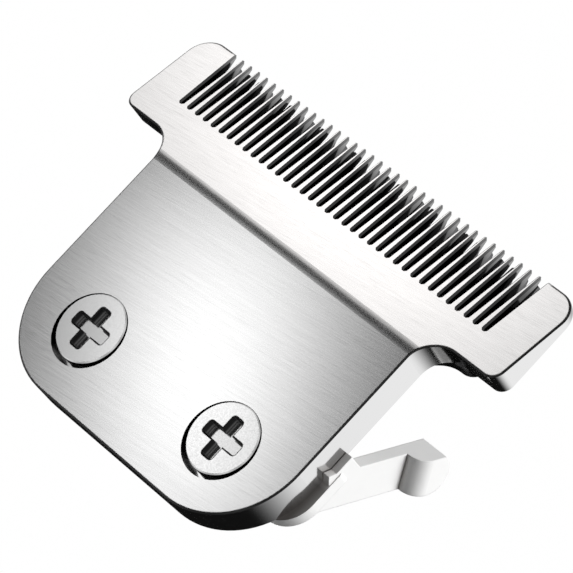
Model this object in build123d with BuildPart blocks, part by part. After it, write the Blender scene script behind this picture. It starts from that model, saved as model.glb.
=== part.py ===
from build123d import *
import os
from math import cos, radians, sin, sqrt, tan

# Trimmer blade set: a T-shaped comb, the cutter that slides under it, and the moulded holder
# that carries both. Millimetres. +X runs along the tooth row, +Y to the tooth tips, +Z up out
# of the comb's face. The origin lies on the holder's underside, midway between the two screws.

# Comb
COMB_WIDTH = 40.2            # over both wings
COMB_THICK = 2.6
PLATE_WIDTH = 28.0
PLATE_REAR = 5.54            # rear edge behind the screw line
RIDGE_Y = 12.67              # ridge ahead of the screw line
FACE_SLOPE = 13.05           # fall of the tooth face, degrees
FACE_LENGTH = 9.58           # ridge to tooth tips, in plan
WING_DEPTH = 7.96            # shoulder of the wings to the tooth tips
RIDGE_RADIUS = 3.9
REAR_RADIUS = 6.9
NECK_RADIUS = 2.3
WING_REAR_RADIUS = 0.95
WING_FRONT_RADIUS = 1.85
RIM_CHAMFER = 0.11           # round the upper outline, tooth tips included
TIP_RELIEF_LENGTH = 0.9      # the underside lifts away towards the tips
TIP_RELIEF_RISE = 0.2
COMB_SETTING = 0.18          # how far the comb is set back in its wide screw holes

# Comb teeth
SLOT_COUNT = 37
SLOT_PITCH = 0.9105
SLOT_LENGTH = 5.42           # slot root to tooth tips, in plan
SLOT_ROOT_WIDTH = 0.26
SLOT_ROOT_CHAMFER = 0.08
SLOT_TAPER = 1.8             # each wall, degrees
TOOTH_BEVEL = 0.14
TOOTH_TIP_CHAMFER = 0.12

# Screws
SCREW_SPACING = 14.8
SCREW_RADIUS = 1.5
SCREW_LENGTH = 5.0           # under the head
SCREW_POINT = 0.5
HEAD_RADIUS = 2.75
HEAD_HEIGHT = 1.5
HEAD_PROUD = 0.1             # above the comb's face
HEAD_CHAMFER = 0.09
RECESS_SPAN = 3.34
RECESS_WIDTH = 0.95
RECESS_DEPTH = 0.7
RECESS_ROUND = 0.2
RECESS_CHAMFER = 0.09        # round its mouth
HEAD_CLEARANCE = 0.22        # round the head in its counterbore
HOLE_CLEARANCE = 0.3         # round the screw in the comb
THREAD_CLEARANCE = 0.02      # round the screw in the holder
POINT_CLEARANCE = 0.2        # under the screw's point

# Cutter
CUTTER_WIDTH = 33.8
CUTTER_THICK = 1.4
CUTTER_SETBACK = 0.54        # cutter tips behind the comb tips
CUTTER_DEPTH = 7.64          # wing's rear edge to the tips
CUTTER_WING = 2.5            # length of the wing's rear edge
WING_RADIUS = 1.4
WAIST_RADIUS = 3.0
TAIL_DEPTH = 9.94            # tail's rear edge to the tips
TAIL_WIDTH = 22.0
TAIL_RADIUS = 0.9
CUTTER_TEETH = 28
CUTTER_PITCH = 1.187
GAP_LENGTH = 2.2
GAP_ROOT_WIDTH = 0.4
GAP_ROOT_CHAMFER = 0.12
GAP_TAPER = 7.5              # each wall, degrees
CUTTER_TIP_CHAMFER = 0.08
CUTTER_TIP_THICK = 0.4
CUTTER_BEVEL_LENGTH = 2.6
CUTTER_STROKE = 1.2          # each way from the middle
RUN_CLEARANCE = 0.02         # cutter under the comb

# Holder
HOLDER_THICK = 1.0
HOLDER_REAR = 4.0            # behind the screw line
HOLDER_FRONT = 6.5
HOLDER_CORNER = 3.5
EAR_OVERHANG = 0.7           # beside the comb
EAR_REAR = 1.98              # behind the screw line
EAR_FRONT = 3.86
EAR_REAR_RADIUS = 2.6
EAR_FRONT_RADIUS = 0.6
BOSS_RADIUS = 2.6
BOSS_FLOOR = 1.2             # closes the screw bore
LIP_HEIGHT = 0.33
LIP_LENGTH = 1.52            # front end to the nib at its rear
NIB_HEIGHT = 0.74
NIB_RISE = 0.55              # lip to the nib's peak
NIB_FALL = 0.41              # peak to the nib's foot
LIP_CLEARANCE = 0.05         # to the comb's side

# Snap legs
LEG_ANGLE = 45.0             # below the seat, degrees
LEG_THICK = 1.05
LEG_INSET = 0.08             # leg's outer face inside the ear's
LEG_WIDTH = 2.9
LEG_FRONT = 4.77             # front edge of the leg's root
LEG_DROP = 0.2               # where the root's front edge turns into the leg, below the seat
LEG_LENGTH = 6.8             # from that turn to the end's upper corner
LEG_END_RADIUS = 1.62
KNOB_LENGTH = 2.43           # back from that corner
KNOB_BULGE = 1.4
KNOB_ROUND = 1.25

# Guide between holder and drive block
TONGUE_WIDTH = 11.0
TAIL_CLEARANCE = 1.2         # tongue's front edge to the cutter's tail
RIB_WIDTH = 0.9
RIB_DEPTH = 1.2
RIB_LENGTH = 8.0
RIB_SETBACK = 0.45           # behind the tongue's front edge
GUIDE_CLEARANCE = 0.06

# Drive block
BLOCK_WIDTH = 14.0
BLOCK_THICK = 1.4
BLOCK_OVERLAP = 5.2          # under the cutter, from its tail
BLOCK_LENGTH = 8.5
BLOCK_CORNER = 1.0
PEG_SPACING = 10.0
PEG_RADIUS = 1.0
PEG_INSET = 2.65             # from the cutter's tail
PEG_CLEARANCE = 0.03
FORK_GAP = 4.5
PRONG_THICK = 1.4
PRONG_LENGTH = 4.4
PRONG_DEPTH = 5.0            # along Y
PRONG_SETBACK = 1.8          # behind the block's front edge
PRONG_ROUND = 1.0

# Tension spring
WIRE_RADIUS = 0.4
ARM_CLEARANCE = 0.4          # between arm and block at the end of the stroke
BAR_SETBACK = 0.95           # behind the block's front edge
SPRING_GROOVE = 0.4          # depth in the block
SPRING_BEND = 1.0
BEND_CLEARANCE = 0.1         # between bend and lug
END_INSET = 0.4              # wire's end inside the lug's outer face
PIVOT_SETBACK = 2.05         # behind the holder's front edge
PIVOT_DROP = 1.4             # below the seat
LUG_WALL = 0.8
LUG_THICK = 1.2
LUG_CLEARANCE = 0.03

# Levels and stations that follow from the sizes above
comb_under = HOLDER_THICK
comb_top = comb_under + COMB_THICK
tip_y = RIDGE_Y + FACE_LENGTH
shoulder_y = tip_y - WING_DEPTH
tip_top = comb_top - FACE_LENGTH * tan(radians(FACE_SLOPE))
ridge_loss = RIDGE_RADIUS * (1 / cos(radians(FACE_SLOPE) / 2) - 1)
cutter_top = comb_under - RUN_CLEARANCE
cutter_under = cutter_top - CUTTER_THICK
cutter_tip_y = tip_y - CUTTER_SETBACK
wing_rear_y = cutter_tip_y - CUTTER_DEPTH
tail_y = cutter_tip_y - TAIL_DEPTH
block_under = cutter_under - BLOCK_THICK
block_front = tail_y + BLOCK_OVERLAP
peg_y = tail_y + PEG_INSET
prong_rear = block_front - PRONG_SETBACK - PRONG_DEPTH
tongue_front = tail_y - TAIL_CLEARANCE
rib_y = tongue_front - RIB_SETBACK - RIB_WIDTH / 2
arm_x = BLOCK_WIDTH / 2 + CUTTER_STROKE + ARM_CLEARANCE + WIRE_RADIUS
lug_x = arm_x + SPRING_BEND + BEND_CLEARANCE
holder_x = lug_x + LUG_THICK
bar_y = block_front - BAR_SETBACK
bar_z = block_under + SPRING_GROOVE - RUN_CLEARANCE - WIRE_RADIUS
pivot_y = HOLDER_FRONT - PIVOT_SETBACK
pivot_z = -PIVOT_DROP
ear_x = PLATE_WIDTH / 2 + EAR_OVERHANG
lip_x = PLATE_WIDTH / 2 + LIP_CLEARANCE
leg_outer = ear_x - LEG_INSET
leg_inner = leg_outer - LEG_THICK
leg_rear = EAR_REAR_RADIUS - EAR_REAR - sqrt(LEG_INSET * (2 * EAR_REAR_RADIUS - LEG_INSET))
head_top = comb_top + HEAD_PROUD
head_seat = head_top - HEAD_HEIGHT
screw_end = head_seat - SCREW_LENGTH
bore_end = screw_end - POINT_CLEARANCE
boss_end = bore_end - BOSS_FLOOR
NEAR = 1e-3                  # tolerance when picking corners
BEYOND = 1.0                 # overrun of cuts that leave through an edge

# The sloping tooth face: local y runs from the ridge down to the tips
face_plane = Plane(origin=(0, RIDGE_Y, comb_top), x_dir=(1, 0, 0),
                   z_dir=(0, sin(radians(FACE_SLOPE)), cos(radians(FACE_SLOPE))))


def corners(sketch, x, y):
    """Vertices of a sketch at (x, y) and at its mirror image (-x, y)."""
    return [v for v in sketch.vertices() if abs(abs(v.X) - x) < NEAR and abs(v.Y - y) < NEAR]


def on_rim(point):
    """True on the upper outline of the comb, but not along its ridge."""
    fall = max(0, point.Y - RIDGE_Y) * tan(radians(FACE_SLOPE))
    along_ridge = abs(point.X) < NEAR and abs(point.Y - RIDGE_Y) < RIDGE_RADIUS
    return not along_ridge and abs(point.Z - comb_top + fall) < 2 * ridge_loss


def tapered_gap(root_y, tip_y, root_width, root_chamfer, taper, tip_chamfer=0.0):
    """Gap between two teeth: chamfered root, parting walls and, if asked, chamfered tooth tips."""
    root_x = root_width / 2
    wall_length = tip_y - tip_chamfer - root_y - root_chamfer
    wall_x = root_x + wall_length * tan(radians(taper))
    right = [(root_x - root_chamfer, root_y), (root_x, root_y + root_chamfer),
             (wall_x, tip_y - tip_chamfer)]
    if tip_chamfer > 0:
        right.append((wall_x + tip_chamfer, tip_y))
    right.append((right[-1][0], tip_y + BEYOND))
    with BuildSketch() as gap:
        with BuildLine():
            Polyline(*right, *[(-x, y) for x, y in reversed(right)], close=True)
        make_face()
    return gap.sketch


# Comb: side profile run across the full width, then trimmed to the T in plan
face_run = FACE_LENGTH / cos(radians(FACE_SLOPE))
slot_root = (FACE_LENGTH - SLOT_LENGTH) / cos(radians(FACE_SLOPE))
slot = tapered_gap(slot_root, face_run, SLOT_ROOT_WIDTH, SLOT_ROOT_CHAMFER, SLOT_TAPER,
                   TOOTH_TIP_CHAMFER)
slot_bevel = tapered_gap(slot_root, face_run, SLOT_ROOT_WIDTH, SLOT_ROOT_CHAMFER, SLOT_TAPER)

with BuildPart() as comb_blade:
    with BuildSketch(Plane.YZ) as profile:
        with BuildLine():
            Polyline((-PLATE_REAR, comb_under), (-PLATE_REAR, comb_top), (RIDGE_Y, comb_top),
                     (tip_y, tip_top), (tip_y, comb_under + TIP_RELIEF_RISE),
                     (tip_y - TIP_RELIEF_LENGTH, comb_under), close=True)
        make_face()
        fillet(profile.vertices().sort_by_distance((RIDGE_Y, comb_top))[0], RIDGE_RADIUS)
    extrude(amount=COMB_WIDTH / 2, both=True)

    with BuildSketch(Plane.XY.offset(comb_under)) as comb_plan:
        with Locations((0, (shoulder_y - PLATE_REAR) / 2)):
            Rectangle(PLATE_WIDTH, shoulder_y + PLATE_REAR)
        with Locations((0, (shoulder_y + tip_y) / 2)):
            Rectangle(COMB_WIDTH, WING_DEPTH)
        fillet(corners(comb_plan, PLATE_WIDTH / 2, -PLATE_REAR), REAR_RADIUS)
        fillet(corners(comb_plan, PLATE_WIDTH / 2, shoulder_y), NECK_RADIUS)
        fillet(corners(comb_plan, COMB_WIDTH / 2, shoulder_y), WING_REAR_RADIUS)
        fillet(corners(comb_plan, COMB_WIDTH / 2, tip_y), WING_FRONT_RADIUS)
    extrude(amount=COMB_THICK, mode=Mode.INTERSECT)
    chamfer([e for e in comb_blade.edges() if on_rim(e @ 0.5)], RIM_CHAMFER)

    # Tooth slots, with a bevel along their upper edges
    with BuildSketch(face_plane) as slot_row:
        with GridLocations(SLOT_PITCH, 0, SLOT_COUNT, 1):
            add(slot)
    extrude(amount=-2 * COMB_THICK, mode=Mode.SUBTRACT)
    with BuildSketch(face_plane.offset(-TOOTH_BEVEL)) as bevel_row:
        with GridLocations(SLOT_PITCH, 0, SLOT_COUNT, 1):
            add(slot_bevel)
    extrude(amount=TOOTH_BEVEL + RUN_CLEARANCE, taper=-45, mode=Mode.SUBTRACT)

    # Counterbored screw holes, wide enough to set the comb forwards and back
    with Locations((0, -COMB_SETTING, comb_top)):
        with GridLocations(SCREW_SPACING, 0, 2, 1):
            CounterBoreHole(SCREW_RADIUS + HOLE_CLEARANCE, HEAD_RADIUS + HEAD_CLEARANCE,
                            comb_top - head_seat)
comb_blade.part.label = "comb_blade"

# Cutter: plan outline with its tooth gaps, then the ground bevel under the teeth
gap = tapered_gap(0, GAP_LENGTH, GAP_ROOT_WIDTH, GAP_ROOT_CHAMFER, GAP_TAPER, CUTTER_TIP_CHAMFER)

with BuildPart() as cutter_blade:
    waist_x = CUTTER_WIDTH / 2 - CUTTER_WING
    with BuildSketch(Plane.XY.offset(cutter_under)) as cutter_plan:
        with BuildLine():
            half = Polyline((0, tail_y), (TAIL_WIDTH / 2, tail_y), (waist_x, wing_rear_y),
                            (CUTTER_WIDTH / 2, wing_rear_y), (CUTTER_WIDTH / 2, cutter_tip_y),
                            (0, cutter_tip_y))
            mirror(half, about=Plane.YZ)
        make_face()
        fillet(corners(cutter_plan, CUTTER_WIDTH / 2, wing_rear_y), WING_RADIUS)
        fillet(corners(cutter_plan, waist_x, wing_rear_y), WAIST_RADIUS)
        fillet(corners(cutter_plan, TAIL_WIDTH / 2, tail_y), TAIL_RADIUS)
        with Locations((0, cutter_tip_y - GAP_LENGTH)):
            with GridLocations(CUTTER_PITCH, 0, CUTTER_TEETH + 1, 1):
                add(gap, mode=Mode.SUBTRACT)
        with Locations((0, peg_y)):
            with GridLocations(PEG_SPACING, 0, 2, 1):
                Circle(PEG_RADIUS + PEG_CLEARANCE, mode=Mode.SUBTRACT)
    extrude(amount=CUTTER_THICK)
    with BuildSketch(Plane.YZ) as bevel:
        with BuildLine():
            Polyline((cutter_tip_y - CUTTER_BEVEL_LENGTH, cutter_under),
                     (cutter_tip_y, cutter_top - CUTTER_TIP_THICK),
                     (cutter_tip_y + BEYOND, cutter_top - CUTTER_TIP_THICK),
                     (cutter_tip_y + BEYOND, cutter_under), close=True)
        make_face()
    extrude(amount=CUTTER_WIDTH, both=True, mode=Mode.SUBTRACT)
cutter_blade.part.label = "cutter_blade"

# Holder: base plate, ears and tongue in plan, then bosses, lugs, lips and snap legs
leg_turn = radians(LEG_ANGLE)
leg_along = Vector(0, cos(leg_turn), -sin(leg_turn))
leg_across = Vector(0, -sin(leg_turn), -cos(leg_turn))
leg_top = Vector(0, LEG_FRONT, -LEG_DROP)
leg_end = leg_top + leg_along * LEG_LENGTH
leg_heel = leg_top + leg_across * LEG_WIDTH
leg_heel = leg_heel - leg_along * ((leg_heel.Y - leg_rear) / cos(leg_turn))
leg_tangent = LEG_LENGTH - sqrt(LEG_END_RADIUS ** 2 - (LEG_WIDTH - LEG_END_RADIUS) ** 2)
leg_tail = leg_top + leg_along * leg_tangent + leg_across * LEG_WIDTH

with BuildPart() as blade_holder:
    with BuildSketch() as holder_plan:
        with Locations((0, (HOLDER_FRONT - HOLDER_REAR) / 2)):
            Rectangle(2 * holder_x, HOLDER_FRONT + HOLDER_REAR)
        fillet(holder_plan.vertices(), HOLDER_CORNER)
        with BuildSketch(mode=Mode.PRIVATE) as ears:
            with Locations((0, (EAR_FRONT - EAR_REAR) / 2)):
                Rectangle(2 * ear_x, EAR_FRONT + EAR_REAR)
            fillet(ears.vertices().group_by(Axis.Y)[0], EAR_REAR_RADIUS)
            fillet(ears.vertices().group_by(Axis.Y)[-1], EAR_FRONT_RADIUS)
        add(ears.sketch)
        with Locations((0, tongue_front / 2)):
            Rectangle(TONGUE_WIDTH, tongue_front)
    extrude(amount=HOLDER_THICK)

    with Locations((0, rib_y, -RIB_DEPTH / 2)):
        Box(RIB_LENGTH, RIB_WIDTH, RIB_DEPTH)

    with BuildSketch() as bosses:
        with GridLocations(SCREW_SPACING, 0, 2, 1):
            Circle(BOSS_RADIUS)
    extrude(amount=boss_end)
    with Locations((0, 0, HOLDER_THICK)):
        with GridLocations(SCREW_SPACING, 0, 2, 1):
            Hole(SCREW_RADIUS + THREAD_CLEARANCE, HOLDER_THICK - bore_end)

    # Locating lip beside the comb, with a nib at its rear end
    with BuildPart(mode=Mode.PRIVATE) as lip:
        nib_front = LEG_FRONT - LIP_LENGTH
        nib_peak = nib_front - NIB_RISE
        with BuildSketch(Plane.YZ.offset(lip_x)):
            with BuildLine():
                Polyline((LEG_FRONT, HOLDER_THICK), (LEG_FRONT, HOLDER_THICK + LIP_HEIGHT),
                         (nib_front, HOLDER_THICK + LIP_HEIGHT), (nib_peak, HOLDER_THICK + NIB_HEIGHT),
                         (nib_peak - NIB_FALL, HOLDER_THICK), close=True)
            make_face()
        extrude(amount=leg_outer - lip_x)

    # Snap leg: side profile with a round end, then trimmed to the leg and its rounded catch
    with BuildPart(mode=Mode.PRIVATE) as leg:
        with BuildSketch(Plane.YZ.offset(leg_inner)):
            with BuildLine():
                Polyline((leg_tail.Y, leg_tail.Z), (leg_heel.Y, leg_heel.Z), (leg_heel.Y, HOLDER_THICK),
                         (LEG_FRONT, HOLDER_THICK), (leg_top.Y, leg_top.Z), (leg_end.Y, leg_end.Z))
                RadiusArc((leg_end.Y, leg_end.Z), (leg_tail.Y, leg_tail.Z), LEG_END_RADIUS)
            make_face()
        extrude(amount=LEG_THICK + KNOB_BULGE)
        with BuildSketch(Plane(origin=leg_end, x_dir=leg_along, z_dir=leg_across)):
            with BuildLine():
                knob_x = leg_outer + KNOB_BULGE
                Polyline((-KNOB_LENGTH, knob_x - KNOB_ROUND), (-KNOB_LENGTH, leg_outer),
                         (-2 * LEG_LENGTH, leg_outer), (-2 * LEG_LENGTH, leg_inner),
                         (LEG_END_RADIUS, leg_inner), (LEG_END_RADIUS, knob_x),
                         (KNOB_ROUND - KNOB_LENGTH, knob_x))
                RadiusArc((KNOB_ROUND - KNOB_LENGTH, knob_x), (-KNOB_LENGTH, knob_x - KNOB_ROUND),
                          -KNOB_ROUND)
            make_face()
        extrude(amount=2 * LEG_LENGTH, both=True, mode=Mode.INTERSECT)

    # Lug that takes one bent end of the spring wire
    with BuildPart(mode=Mode.PRIVATE) as lug:
        lug_radius = WIRE_RADIUS + LUG_WALL
        with BuildSketch(Plane.YZ.offset(lug_x)):
            with Locations((pivot_y, pivot_z)):
                Circle(lug_radius)
            with Locations((pivot_y, pivot_z / 2)):
                Rectangle(2 * lug_radius, PIVOT_DROP)
            with Locations((pivot_y, pivot_z)):
                Circle(WIRE_RADIUS + LUG_CLEARANCE, mode=Mode.SUBTRACT)
        extrude(amount=LUG_THICK)

    for piece in (lip, leg, lug):
        add(piece.part)
        add(mirror(piece.part, about=Plane.YZ, mode=Mode.PRIVATE))
blade_holder.part.label = "blade_holder"

# Drive block: plate under the cutter, guide and spring grooves, pegs, and the fork
with BuildPart() as drive_block:
    with BuildSketch(Plane.XY.offset(block_under)) as plate:
        with Locations((0, block_front - BLOCK_LENGTH / 2)):
            Rectangle(BLOCK_WIDTH, BLOCK_LENGTH)
        chamfer(plate.vertices(), BLOCK_CORNER)
    extrude(amount=BLOCK_THICK)
    groove_depth = cutter_under + RIB_DEPTH + GUIDE_CLEARANCE
    with Locations((0, rib_y, cutter_under - groove_depth / 2)):
        Box(BLOCK_WIDTH, RIB_WIDTH + 2 * GUIDE_CLEARANCE, groove_depth, mode=Mode.SUBTRACT)
    with Locations((0, bar_y, block_under + SPRING_GROOVE / 2)):
        Box(BLOCK_WIDTH, 2 * (WIRE_RADIUS + GUIDE_CLEARANCE), SPRING_GROOVE, mode=Mode.SUBTRACT)
    with BuildSketch(Plane.XY.offset(cutter_under)) as pegs:
        with Locations((0, peg_y)):
            with GridLocations(PEG_SPACING, 0, 2, 1):
                Circle(PEG_RADIUS)
    extrude(amount=CUTTER_THICK - PEG_CLEARANCE)
    with BuildSketch(Plane.YZ) as prong:
        with Locations((prong_rear + PRONG_DEPTH / 2, block_under - PRONG_LENGTH / 2)):
            Rectangle(PRONG_DEPTH, PRONG_LENGTH)
        fillet(prong.vertices().group_by(Axis.Y)[0], PRONG_ROUND)
    extrude(amount=FORK_GAP / 2 + PRONG_THICK, both=True)
    with Locations((0, prong_rear + PRONG_DEPTH / 2, block_under - PRONG_LENGTH / 2)):
        Box(FORK_GAP, PRONG_DEPTH, PRONG_LENGTH, mode=Mode.SUBTRACT)
drive_block.part.label = "drive_block"

# Tension spring: bent wire whose ends sit in the lugs and whose bar lies in the block's groove
with BuildPart() as tension_spring:
    end_x = holder_x - END_INSET
    with BuildLine() as wire:
        FilletPolyline((-end_x, pivot_y, pivot_z), (-arm_x, pivot_y, pivot_z), (-arm_x, bar_y, bar_z),
                       (arm_x, bar_y, bar_z), (arm_x, pivot_y, pivot_z), (end_x, pivot_y, pivot_z),
                       radius=SPRING_BEND)
    with BuildSketch(Plane.YZ.offset(-end_x)):
        with Locations((pivot_y, pivot_z)):
            Circle(WIRE_RADIUS)
    sweep(path=wire.wires()[0])
tension_spring.part.label = "tension_spring"


def make_screw(side):
    """Flat-head screw with a cross recess; side is -1 for the left one and 1 for the right."""
    with BuildPart() as screw:
        x = side * SCREW_SPACING / 2
        with BuildSketch(Plane.XZ):
            with BuildLine():
                Polyline((x, screw_end), (x + SCREW_RADIUS - SCREW_POINT, screw_end),
                         (x + SCREW_RADIUS, screw_end + SCREW_POINT),
                         (x + SCREW_RADIUS, head_seat), (x + HEAD_RADIUS, head_seat),
                         (x + HEAD_RADIUS, head_top - HEAD_CHAMFER),
                         (x + HEAD_RADIUS - HEAD_CHAMFER, head_top), (x, head_top), close=True)
            make_face()
        revolve(axis=Axis((x, 0, 0), (0, 0, 1)))
        with BuildSketch(Plane.XY.offset(head_top)) as recess:
            with Locations((x, 0)):
                Rectangle(RECESS_SPAN, RECESS_WIDTH)
                Rectangle(RECESS_WIDTH, RECESS_SPAN)
            tips = [v for v in recess.vertices()
                    if max(abs(v.X - x), abs(v.Y)) > RECESS_SPAN / 2 - NEAR]
            fillet(tips, RECESS_ROUND)
        extrude(amount=-RECESS_DEPTH, mode=Mode.SUBTRACT)
        chamfer(screw.faces().sort_by(Axis.Z)[-1].inner_wires()[0].edges(), RECESS_CHAMFER)
    return screw


screw_left = make_screw(-1)
screw_left.part.label = "screw_left"
screw_right = make_screw(1)
screw_right.part.label = "screw_right"

os.makedirs("parts", exist_ok=True)
export_step(comb_blade.part, "parts/comb_blade.step")
export_step(cutter_blade.part, "parts/cutter_blade.step")
export_step(blade_holder.part, "parts/blade_holder.step")
export_step(drive_block.part, "parts/drive_block.step")
export_step(tension_spring.part, "parts/tension_spring.step")
export_step(screw_left.part, "parts/screw_left.step")
export_step(screw_right.part, "parts/screw_right.step")
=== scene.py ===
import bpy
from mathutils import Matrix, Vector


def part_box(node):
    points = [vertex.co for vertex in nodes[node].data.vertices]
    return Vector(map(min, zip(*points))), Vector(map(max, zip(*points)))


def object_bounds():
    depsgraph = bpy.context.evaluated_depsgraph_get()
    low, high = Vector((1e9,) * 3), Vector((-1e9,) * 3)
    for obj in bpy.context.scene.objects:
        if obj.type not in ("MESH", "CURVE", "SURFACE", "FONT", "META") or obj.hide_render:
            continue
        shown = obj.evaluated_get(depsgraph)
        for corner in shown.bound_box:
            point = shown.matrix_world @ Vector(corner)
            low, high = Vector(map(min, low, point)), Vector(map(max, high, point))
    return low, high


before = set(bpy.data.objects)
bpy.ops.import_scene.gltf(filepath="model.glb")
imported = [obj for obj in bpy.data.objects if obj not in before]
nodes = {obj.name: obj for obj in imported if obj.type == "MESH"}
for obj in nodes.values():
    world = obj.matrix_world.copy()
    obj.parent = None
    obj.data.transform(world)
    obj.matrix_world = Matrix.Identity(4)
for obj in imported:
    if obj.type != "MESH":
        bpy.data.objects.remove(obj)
import math

import bmesh
import bpy
from mathutils import Quaternion, Vector

# Trimmer blade set on white: a brushed steel comb over a dark cutter, on a white moulded holder.
# Metres, in the part's own frame: +X along the tooth row, +Y to the tips, +Z out of the comb.
cad_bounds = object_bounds()
scene = bpy.context.scene

# Camera of the photograph
CAMERA_EYE = Vector((0.15015, -0.017596, 0.198558))
CAMERA_TARGET = Vector((0.002628, 0.010796, 0.003629))
CAMERA_ROLL = -38.4275                   # degrees about the line of sight
LENS = 226.11
SENSOR = 36.0
NEAREST = 0.01
FARTHEST = 10

# Stage
CENTRE = Vector((0.0, 0.008, 0.002))     # middle of the blade set
FLOOR_DROP = 0.3                         # the blade floats above the floor, as in the photograph
FLOOR_REACH = 3.0
FLOOR_GREY = 0.9
WORLD_FILL = 0.02

# Lamps that light the plastic: direction, share of full white that a face turned to it gets, size
LAMPS = {
    "key": ((0.8, 0.6, 0.05), 1.38, 0.25),
    "fill_left": ((-0.95, 0.1, -0.3), 0.5, 0.15),
    "fill_below": ((-0.35, -0.55, -0.76), 0.6, 0.12),
}
LAMP_DISTANCE = 0.4

# Tent round the blade, painted by direction: tilt is degrees from +Z towards +Y, turn is degrees from
# +X towards +Y, and lean is the direction's X part. Rise and fall say where a patch fades in and out.
TENT_RADIUS = 0.25
STRIP_RISE = (-6, 1)                     # tilt
STRIP_FALL = (6.5, 16)
STRIP_LEAN = (-2, 8, -0.558, -0.616)     # from one tilt to another, its middle moves from lean to lean
STRIP_CORE = (0.055, 1.95)               # width in lean, brightness
STRIP_HALO = (0.16, 0.05)
BOX_RISE = (29, 36)
BOX_FALL = (44, 58)
BOX_LEAN = (31, 37, -0.554, -0.59)
BOX_WIDTH = 0.165
BOX_RIGHT = (-0.52, -0.44, 1, 0.87)      # from one lean to another, dimmer for the right wing
BOX_LEVEL = 1.62
BOX_TINT = (1.0, 0.974, 0.962, 1)
WALL_LEVEL = 0.62
WALL_BANDS = 6.0
BAND_DEPTH = 0.17
FLAG_DIRECTION = Vector((-0.604, 0.2, 0.77))
FLAG_CORE = 20                           # degrees from its middle to where it starts to fade
FLAG_EDGE = 30
FLAG_LEVEL = 0.03
BELOW = (-0.6, -0.35)                    # Z part of the direction, from the ground to the wall
GROUND_LEVEL = 0.006
FRONT_RISE = (-62, 15)                   # turn
FRONT_FALL = (130, 170)
FRONT_LEVEL = 0.5
CARD_FALL = (25, 85)
CARD_LEVEL = 0.48

# Places on the part where shade is painted into the colour: where it starts to change and where it is done
TEETH_REAR = (0.0163, 0.0165)            # y just behind the slots
TEETH_SIDE = (0.0170, 0.0172)            # x just beyond the last slot
SLOT_PAINTED_SHADE = (0.0203, 0.0222, 0.93, 0.6)  # from one y to another, painted shade on the slot walls, lighter at the tips
HOLE = (0.0033, 0.0034)                  # distance from the screw's axis
NECK_REAR = (0.0080, 0.0085)             # y of the hollow between plate and wing
NECK_FRONT = (0.0150, 0.0155)
NECK_SIDE = (0.0172, 0.0178)             # x
NECK_PAINTED_SHADE = (0.6, 0.85, 0.7, 0)          # painted shade by the X part of the normal, gone where it joins the plate
# Width of the band beside the rim's chamfer where a dark reflection is painted
RIM_BAND = 0.00022
RECESS = (0.0021, 0.0022)                # distance from the screw's axis
RECESS_FLOOR = (0.0003, 0.0004)          # depth under the head's top
RECESS_WALL = (0.00036, 0.00066, 0.015, 0.18)    # painted shade, from one depth to another, from grey to grey
RECESS_BAND = 0.00018
EAR_FRONT = (0.0018, 0.0024)             # y of the nib's foot
EAR_SHADE = (0.0138, 0.0148, 1, 0.6)     # painted shadow, from one x to another, lighter at the ear's outer edge

# Slopes, as the Z part of the normal
LEVEL = (0.8, 0.95)                      # from chamfers to the ground faces, the sloping one too
CHAMFER = (0.8, 0.86)
UPPER = (0.5, 0.55)                      # from walls to chamfers
WALL = (0.4, 0.5)
HEAD_TOP = (0.9, 0.95)
HEAD_RIM = (0.5, 0.6)
EDGE_TURN = (0.968, 0.992)               # cosine between a face and its rounded edge

# Finishes
BRUSH_TURN = 6.4                         # degrees from the tooth row to the brushing on the comb
LONG_STREAKS = (200, 9500, 9500)         # noise scale along and across the brushing
SHORT_STREAKS = (600, 14000, 14000)
SHORT_OFFSET = (3, 1, 2)
LONG_SHARE = 0.6
STREAK_DEPTH = 0.9
SCRATCH = (0.28, 0.46, 0.18, 0)          # from one noise value to another, from deep to none
STEEL_SHADE = 0.53                       # between the two greys
STEEL_LOW = 0.62
STEEL_HIGH = 1.0
# Near-black painted shade and dark reflection for the comb's rim, necks, slots and screw holes
STEEL_PAINTED_SHADE = 0.03
EDGE_ROUGHNESS = 0.12
BRUSH_ROUGHNESS = (0.043, 0.057)         # added on the ground faces
BRUSH_GLOSS = 0.6
BRUSH_BUMP = 0.02
BUMP_DISTANCE = 2e-5
NOISE_RANGE = (0.3, 0.7)
SCREW_GREY = 0.79
# Painted shade on the floor of the cross recess
RECESS_SHADE_GREY = 0.66
HOLDER_WHITE = (0.88, 0.88, 0.875)
BLOCK_BLACK = (0.03, 0.03, 0.032)
CLOUD_SCALE = (900, 900, 900)
CLOUD_SHARE = (0.965, 0.965, 0.965)      # of the plastic's colour, where it is dimmest
GRAIN_SCALE = (16000, 16000, 16000)
GRAIN_BUMP = 0.05
GLOSS_SPREAD = 0.05
CREVICE_REACH = 0.0016
CREVICE_OPEN = (0.25, 0.95)              # share of open air, from full painted crevice shade to none
CREVICE_SHADE_SHARE = (0.46, 0.43, 0.41)
EAR_SHADOW_SHARE = (0.14, 0.127, 0.12)
PLASTIC_EDGE = 0.0001
PLASTIC_SPECULAR = 0.3


def grey(level):
    return (level, level, level, 1)


def tinted(colour, shares):
    """Colour with each channel cut to its share."""
    return (*(share * channel for share, channel in zip(shares, colour)), 1)


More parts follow.
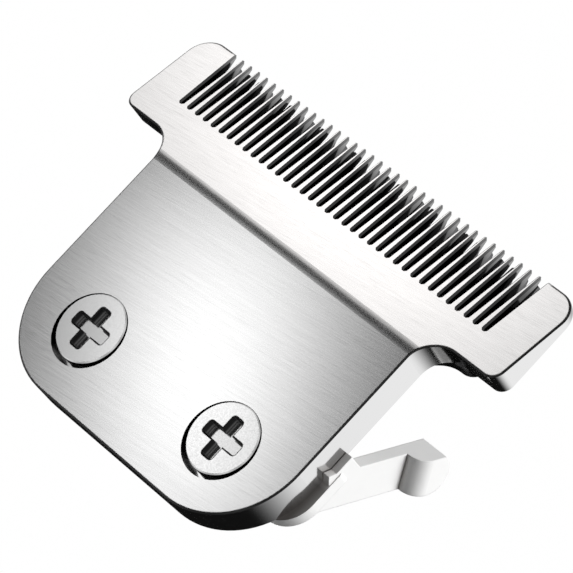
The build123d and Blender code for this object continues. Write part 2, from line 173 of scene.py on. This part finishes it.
class Graph:
    """Short calls that add nodes to a node tree and return sockets."""

    def __init__(self, tree):
        self.tree = tree

    def add(self, kind, inputs=None, **settings):
        node = self.tree.nodes.new(kind)
        for name, value in settings.items():
            setattr(node, name, value)
        for key, value in (inputs or {}).items():
            self.put(node.inputs[key], value)
        return node

    def put(self, socket, value):
        if isinstance(value, bpy.types.NodeSocket):
            self.tree.links.new(value, socket)
        else:
            socket.default_value = value

    def math(self, operation, *values):
        node = self.add("ShaderNodeMath", operation=operation)
        for socket, value in zip(node.inputs, values):
            self.put(socket, value)
        return node.outputs[0]

    def vector(self, operation, *values):
        node = self.add("ShaderNodeVectorMath", operation=operation)
        for socket, value in zip(node.inputs, values):
            self.put(socket, value)
        return node.outputs["Value" if operation in ("DOT_PRODUCT", "DISTANCE") else "Vector"]

    def ramp(self, value, low, high, start=0.0, end=1.0, smooth=True):
        """start below low, end above high, and a smooth step or a line between them."""
        node = self.add("ShaderNodeMapRange", interpolation_type="SMOOTHSTEP" if smooth else "LINEAR")
        for key, number in zip(("Value", "From Min", "From Max", "To Min", "To Max"),
                               (value, low, high, start, end)):
            self.put(node.inputs[key], number)
        return node.outputs[0]

    def within(self, value, edge):
        """1 below the edge's two numbers, 0 above them."""
        return self.ramp(value, *edge, 1, 0)

    def window(self, value, rise, fall):
        """1 between rise and fall, 0 before and after them."""
        return self.product(self.ramp(value, *rise), self.within(value, fall))

    def bell(self, value, centre, width):
        """exp(-((value - centre) / width) squared)."""
        offset = self.math("DIVIDE", self.math("SUBTRACT", value, centre), width)
        return self.math("EXPONENT", self.product(offset, offset, -1.0))

    def product(self, first, *others):
        for other in others:
            first = self.math("MULTIPLY", first, other)
        return first

    def total(self, first, *others):
        for other in others:
            first = self.math("ADD", first, other)
        return first

    def largest(self, first, *others):
        for other in others:
            first = self.math("MAXIMUM", first, other)
        return first

    def rest(self, value):
        """What is left of 1."""
        return self.math("SUBTRACT", 1.0, value)

    def mix(self, factor, first, second):
        """Colour between first and second."""
        node = self.add("ShaderNodeMix", data_type="RGBA")
        self.put(node.inputs["Factor"], factor)
        self.put(node.inputs["A"], first)
        self.put(node.inputs["B"], second)
        return node.outputs["Result"]

    def noise(self, vector, detail=2.0, roughness=0.6):
        node = self.add("ShaderNodeTexNoise", {"Vector": vector, "Scale": 1.0, "Detail": detail,
                                               "Roughness": roughness})
        return node.outputs["Fac"]

    def axes(self, vector):
        """X, Y and Z parts of a vector."""
        return self.add("ShaderNodeSeparateXYZ", {0: vector}).outputs

    def position(self):
        """X, Y and Z of the point in the part's own frame."""
        return self.axes(self.add("ShaderNodeTexCoord").outputs["Object"])

    def normal(self):
        """X, Y and Z parts of the surface normal."""
        return self.axes(self.add("ShaderNodeNewGeometry").outputs["Normal"])

    def place(self, scale, offset=(0, 0, 0), turn=0.0):
        """Object coordinates, turned about Z by so many degrees and then stretched by scale."""
        coords = self.add("ShaderNodeTexCoord").outputs["Object"]
        turned = self.add("ShaderNodeVectorRotate", {"Vector": coords, "Angle": math.radians(turn)},
                          rotation_type="Z_AXIS")
        node = self.add("ShaderNodeMapping", {"Vector": turned.outputs[0], "Location": offset,
                                              "Scale": scale})
        return node.outputs[0]


def make_camera():
    data = bpy.data.cameras.new("photo_camera")
    data.lens = LENS
    data.sensor_width = SENSOR
    data.clip_start = NEAREST
    data.clip_end = FARTHEST
    camera = bpy.data.objects.new("photo_camera", data)
    scene.collection.objects.link(camera)
    camera.location = CAMERA_EYE
    camera.rotation_mode = "QUATERNION"
    look = (CAMERA_TARGET - CAMERA_EYE).to_track_quat("-Z", "Y")
    camera.rotation_quaternion = look @ Quaternion((0, 0, 1), math.radians(CAMERA_ROLL))
    scene.camera = camera


def make_lamp(name, direction, level, size):
    """Soft square lamp for the plastic, hidden from reflections, which show the tent instead."""
    data = bpy.data.lights.new(name, "AREA")
    data.size = size
    data.energy = level * (math.pi * LAMP_DISTANCE) ** 2
    lamp = bpy.data.objects.new(name, data)
    scene.collection.objects.link(lamp)
    away = Vector(direction).normalized()
    lamp.location = CENTRE + LAMP_DISTANCE * away
    lamp.rotation_mode = "QUATERNION"
    lamp.rotation_quaternion = (-away).to_track_quat("-Z", "Y")
    lamp.visible_camera = False
    lamp.visible_glossy = False


def seen_directly(graph):
    """1 for the rays that show the background: from the camera, off metal or through glass."""
    path = graph.add("ShaderNodeLightPath").outputs
    return graph.largest(path["Is Camera Ray"], path["Is Glossy Ray"], path["Is Transmission Ray"])


def make_world():
    world = bpy.data.worlds.new("studio")
    scene.world = world
    world.use_nodes = True
    world.node_tree.nodes.clear()
    graph = Graph(world.node_tree)
    fill = graph.add("ShaderNodeBackground", {"Color": grey(WORLD_FILL)})
    white = graph.add("ShaderNodeBackground", {"Color": grey(1)})
    mix = graph.add("ShaderNodeMixShader", {0: seen_directly(graph), 1: fill.outputs[0],
                                            2: white.outputs[0]})
    graph.add("ShaderNodeOutputWorld", {0: mix.outputs[0]})


def new_material(name):
    material = bpy.data.materials.new(name)
    material.use_nodes = True
    shader = material.node_tree.nodes["Principled BSDF"]
    return material, Graph(material.node_tree), shader


def make_floor():
    """White floor; seen directly it glows white, with the blade's soft shadow painted in from occlusion."""
    mesh = bpy.data.meshes.new("floor")
    reach, level = FLOOR_REACH, cad_bounds[0].z - FLOOR_DROP
    mesh.from_pydata([(-reach, -reach, level), (reach, -reach, level), (reach, reach, level),
                      (-reach, reach, level)], [], [(0, 1, 2, 3)])
    floor = bpy.data.objects.new("floor", mesh)
    scene.collection.objects.link(floor)
    material, graph, shader = new_material("floor")
    shader.inputs["Base Color"].default_value = grey(FLOOR_GREY)
    shader.inputs["Roughness"].default_value = 0.9
    shadow = graph.add("ShaderNodeAmbientOcclusion", {"Distance": 2 * FLOOR_DROP}, samples=8)
    white = graph.add("ShaderNodeEmission", {"Color": shadow.outputs["Color"]})
    mix = graph.add("ShaderNodeMixShader", {0: seen_directly(graph), 1: shader.outputs[0],
                                            2: white.outputs[0]})
    graph.put(material.node_tree.nodes["Material Output"].inputs[0], mix.outputs[0])
    mesh.materials.append(material)


def make_tent():
    """Sphere round the blade that only reflections show."""
    mesh = bpy.data.meshes.new("tent")
    shape = bmesh.new()
    bmesh.ops.create_uvsphere(shape, u_segments=64, v_segments=32, radius=TENT_RADIUS)
    bmesh.ops.translate(shape, verts=shape.verts, vec=CENTRE)
    shape.to_mesh(mesh)
    shape.free()
    tent = bpy.data.objects.new("tent", mesh)
    scene.collection.objects.link(tent)
    for kind in ("camera", "diffuse", "shadow", "volume_scatter"):
        setattr(tent, f"visible_{kind}", False)
    mesh.materials.append(tent_light())


def tent_light():
    """Light of the tent: a pale wall with a strip, a softbox and a black flag, and the ground below."""
    material, graph, _ = new_material("tent")
    material.cycles.emission_sampling = "NONE"
    position = graph.add("ShaderNodeNewGeometry").outputs["Position"]
    away = graph.vector("NORMALIZE", graph.vector("SUBTRACT", position, tuple(CENTRE)))
    lean, forward, upward = graph.axes(away)
    tilt = graph.math("DEGREES", graph.math("ARCTAN2", forward, upward))
    turn = graph.math("DEGREES", graph.math("ARCTAN2", forward, lean))

    # Strip for the plate, box for the tooth face, and the dark gap between them that draws the ridge
    strip_lean = graph.ramp(tilt, *STRIP_LEAN, smooth=False)
    glow = graph.total(*(graph.product(graph.bell(lean, strip_lean, width), level)
                         for width, level in (STRIP_CORE, STRIP_HALO)))
    strip = graph.product(glow, graph.window(tilt, STRIP_RISE, STRIP_FALL))
    box_lean = graph.ramp(tilt, *BOX_LEAN, smooth=False)
    box = graph.product(graph.bell(lean, box_lean, BOX_WIDTH), graph.ramp(lean, *BOX_RIGHT),
                        graph.window(tilt, BOX_RISE, BOX_FALL))

    # Pale wall of the tent with soft upright bands, and a round black flag behind the strip
    bands = graph.math("COSINE", graph.math("RADIANS", graph.product(turn, WALL_BANDS)))
    near = graph.vector("DOT_PRODUCT", away, tuple(FLAG_DIRECTION.normalized()))
    flag = graph.ramp(near, math.cos(math.radians(FLAG_EDGE)), math.cos(math.radians(FLAG_CORE)))
    wall = graph.product(graph.total(WALL_LEVEL, graph.product(bands, BAND_DEPTH)),
                         graph.ramp(flag, 0, 1, 1, FLAG_LEVEL, smooth=False))

    # Below the blade: black behind it, a white card to its right, pale in front
    front = graph.window(turn, FRONT_RISE, FRONT_FALL)
    card = graph.window(turn, FRONT_RISE, CARD_FALL)
    ground = graph.total(GROUND_LEVEL, graph.product(front, FRONT_LEVEL), graph.product(card, CARD_LEVEL))
    below = graph.within(upward, BELOW)
    around = graph.total(graph.product(ground, below), graph.product(wall, graph.rest(below)))
    level = graph.total(graph.product(around, graph.rest(box)), strip, graph.product(box, BOX_LEVEL))
    tint = graph.mix(box, grey(1), BOX_TINT)
    light = graph.add("ShaderNodeEmission", {"Color": tint, "Strength": level})
    graph.put(material.node_tree.nodes["Material Output"].inputs[0], light.outputs[0])
    return material


def from_screw(graph, x, y):
    """Distance in plan from the axis of the nearer screw."""
    low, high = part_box("screw_right")
    middle = (low + high) / 2
    plan = graph.add("ShaderNodeCombineXYZ", {0: graph.math("ABSOLUTE", x), 1: y}).outputs[0]
    return graph.vector("DISTANCE", plan, (middle.x, middle.y, 0))


def near_edge(graph, radius):
    """1 within about half the radius of a sharp edge."""
    facet = graph.add("ShaderNodeNewGeometry").outputs["True Normal"]
    round_edge = graph.add("ShaderNodeBevel", {"Radius": radius}, samples=16).outputs[0]
    return graph.within(graph.vector("DOT_PRODUCT", round_edge, facet), EDGE_TURN)


def comb_painted_shade(graph):
    """1 where shade is painted dark on the comb: a dark reflection on its rim, and shade on its necks, its
    screw holes and the walls between its teeth.
    """
    x, y, _ = graph.position()
    sideways, _, height = graph.normal()
    across = graph.math("ABSOLUTE", x)
    upper = graph.ramp(height, *UPPER)
    chamfer = graph.within(height, CHAMFER)
    teeth = graph.product(graph.ramp(y, *TEETH_REAR), graph.within(across, TEETH_SIDE))
    hole = graph.within(from_screw(graph, x, y), HOLE)

    # Painted dark reflection on the rim: the chamfer and a thin band beside it, but not among the teeth or
    # round the screws
    rim = graph.product(upper, graph.largest(near_edge(graph, RIM_BAND), chamfer),
                        graph.rest(graph.largest(teeth, hole)))
    # Painted shade on the walls of the screw holes
    hole_wall = graph.product(hole, graph.rest(upper))
    # Painted shade on the walls between the teeth, lighter towards the tips
    slot = graph.product(teeth, graph.ramp(y, *SLOT_PAINTED_SHADE), chamfer)
    # Painted shade on the walls of the hollow between plate and wing
    neck = graph.product(graph.ramp(graph.math("ABSOLUTE", sideways), *NECK_PAINTED_SHADE),
                         graph.within(height, WALL), graph.within(across, NECK_SIDE),
                         graph.window(y, NECK_REAR, NECK_FRONT))
    return graph.largest(rim, neck, hole_wall, slot)


def comb_steel():
    """Steel brushed nearly along the tooth row, with a dark reflection painted on its rim and dark shade
    painted on its slots, necks and screw holes.
    """
    material, graph, shader = new_material("comb_steel")
    ground = graph.ramp(graph.normal()["Z"], *LEVEL)
    long = graph.noise(graph.place(LONG_STREAKS, turn=-BRUSH_TURN))
    short = graph.noise(graph.place(SHORT_STREAKS, SHORT_OFFSET, -BRUSH_TURN))
    streak = graph.math("SUBTRACT", graph.total(graph.product(long, LONG_SHARE),
                                                graph.product(short, 1 - LONG_SHARE)), 0.5)
    marks = graph.math("SUBTRACT", graph.product(streak, STREAK_DEPTH), graph.ramp(short, *SCRATCH))
    shade = graph.total(STEEL_SHADE, graph.product(marks, ground))
    steel = graph.mix(shade, grey(STEEL_LOW), grey(STEEL_HIGH))
    # Painted shade and painted dark reflection are mixed into the steel here
    graph.put(shader.inputs["Base Color"], graph.mix(comb_painted_shade(graph), steel, grey(STEEL_PAINTED_SHADE)))
    shader.inputs["Metallic"].default_value = 1.0
    brushed = graph.product(ground, graph.ramp(short, *NOISE_RANGE, *BRUSH_ROUGHNESS))
    graph.put(shader.inputs["Roughness"], graph.total(EDGE_ROUGHNESS, brushed))
    shader.inputs["Anisotropic"].default_value = BRUSH_GLOSS
    # Along Y, tilted a little so that it is never the normal of a face
    tangent = graph.add("ShaderNodeCombineXYZ", {0: 0.02, 1: 1.0, 2: 0.01})
    graph.put(shader.inputs["Tangent"], tangent.outputs[0])
    bump = graph.add("ShaderNodeBump", {"Strength": graph.product(ground, BRUSH_BUMP),
                                        "Distance": BUMP_DISTANCE, "Height": streak})
    graph.put(shader.inputs["Normal"], bump.outputs[0])
    return material


def smooth_steel(name, colour, roughness, grain, relief=0.03, paint=None):
    """Smooth metal with a faint grain of the given scale; paint may change its colour in places."""
    material, graph, shader = new_material(name)
    mottle = graph.noise(graph.place(grain), detail=3)
    tone = graph.mix(graph.ramp(mottle, *NOISE_RANGE, 0, 3 * relief), colour, grey(0))
    graph.put(shader.inputs["Base Color"], paint(graph, tone) if paint else tone)
    shader.inputs["Metallic"].default_value = 1.0
    graph.put(shader.inputs["Roughness"],
              graph.ramp(mottle, *NOISE_RANGE, 0.9 * roughness, 1.1 * roughness))
    bump = graph.add("ShaderNodeBump", {"Strength": relief, "Distance": BUMP_DISTANCE, "Height": mottle})
    graph.put(shader.inputs["Normal"], bump.outputs[0])
    return material


def screw_recess_shade(graph, polish):
    """Polished head with a cross recess: painted shade darkens its walls towards the top, rings the
    recess's edge and makes its floor greyer.
    """
    x, y, z = graph.position()
    height = graph.normal()["Z"]
    inner = graph.within(from_screw(graph, x, y), RECESS)
    depth = graph.math("SUBTRACT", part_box("screw_right")[1].z, z)
    floor = graph.product(inner, graph.ramp(depth, *RECESS_FLOOR))
    face = graph.mix(floor, polish, grey(RECESS_SHADE_GREY))
    shade = graph.ramp(depth, *RECESS_WALL)
    wall = graph.add("ShaderNodeCombineXYZ", {0: shade, 1: shade, 2: shade}).outputs[0]
    flat = graph.product(graph.ramp(height, *HEAD_TOP),
                         graph.rest(graph.product(inner, near_edge(graph, RECESS_BAND))))
    outside = graph.product(graph.rest(inner), graph.ramp(height, *HEAD_RIM))
    return graph.mix(graph.largest(flat, outside), wall, face)


def moulded_plastic(name, colour, roughness, paint=None):
    """Plastic with slight unevenness, fine grain, soft edges and shade painted into its crevices; paint may
    change its colour in places.
    """
    material, graph, shader = new_material(name)
    cloud = graph.noise(graph.place(CLOUD_SCALE))
    grain = graph.noise(graph.place(GRAIN_SCALE))
    clean = graph.mix(cloud, tinted(colour, CLOUD_SHARE), (*colour, 1))
    # Painted shade: darker where nearby surfaces close the plastic in
    open_air = graph.add("ShaderNodeAmbientOcclusion", {"Distance": CREVICE_REACH}, samples=12)
    crevice_shaded = graph.mix(graph.ramp(open_air.outputs["AO"], *CREVICE_OPEN), tinted(colour, CREVICE_SHADE_SHARE), clean)
    graph.put(shader.inputs["Base Color"], paint(graph, crevice_shaded) if paint else crevice_shaded)
    graph.put(shader.inputs["Roughness"],
              graph.ramp(grain, *NOISE_RANGE, roughness - GLOSS_SPREAD, roughness + GLOSS_SPREAD))
    round_edge = graph.add("ShaderNodeBevel", {"Radius": PLASTIC_EDGE}, samples=6)
    bump = graph.add("ShaderNodeBump", {"Strength": GRAIN_BUMP, "Distance": BUMP_DISTANCE,
                                        "Height": grain, "Normal": round_edge.outputs[0]})
    graph.put(shader.inputs["Normal"], bump.outputs[0])
    shader.inputs["Specular IOR Level"].default_value = PLASTIC_SPECULAR
    return material


def ear_floor_shadows(graph, crevice_shaded):
    """Painted shadow on the holder's ears: dark beside the comb and lighter towards their outer edge."""
    x, y, _ = graph.position()
    floor = graph.product(graph.within(y, EAR_FRONT), graph.ramp(graph.math("ABSOLUTE", x), *EAR_SHADE),
                          graph.ramp(graph.normal()["Z"], *LEVEL))
    return graph.mix(floor, crevice_shaded, tinted(HOLDER_WHITE, EAR_SHADOW_SHARE))


def dress(node, material):
    mesh = nodes[node].data
    mesh.materials.clear()
    mesh.materials.append(material)


make_camera()
make_world()
make_floor()
make_tent()
for name, values in LAMPS.items():
    make_lamp(name, *values)
dress("comb_blade", comb_steel())
dress("cutter_blade", smooth_steel("cutter_steel", colour=(0.14, 0.14, 0.143, 1), roughness=0.22,
                                   grain=(400, 9000, 9000)))
dress("blade_holder", moulded_plastic("holder_plastic", HOLDER_WHITE, roughness=0.38, paint=ear_floor_shadows))
dress("drive_block", moulded_plastic("block_plastic", BLOCK_BLACK, roughness=0.45))
dress("tension_spring", smooth_steel("spring_wire", colour=grey(0.62), roughness=0.25,
                                     grain=(3000, 3000, 9000)))
screw_steel = smooth_steel("screw_steel", colour=grey(SCREW_GREY), roughness=0.17,
                           grain=(9000, 9000, 9000), relief=0.008, paint=screw_recess_shade)
for side in ("left", "right"):
    dress(f"screw_{side}", screw_steel)

scene.view_settings.view_transform = "Standard"
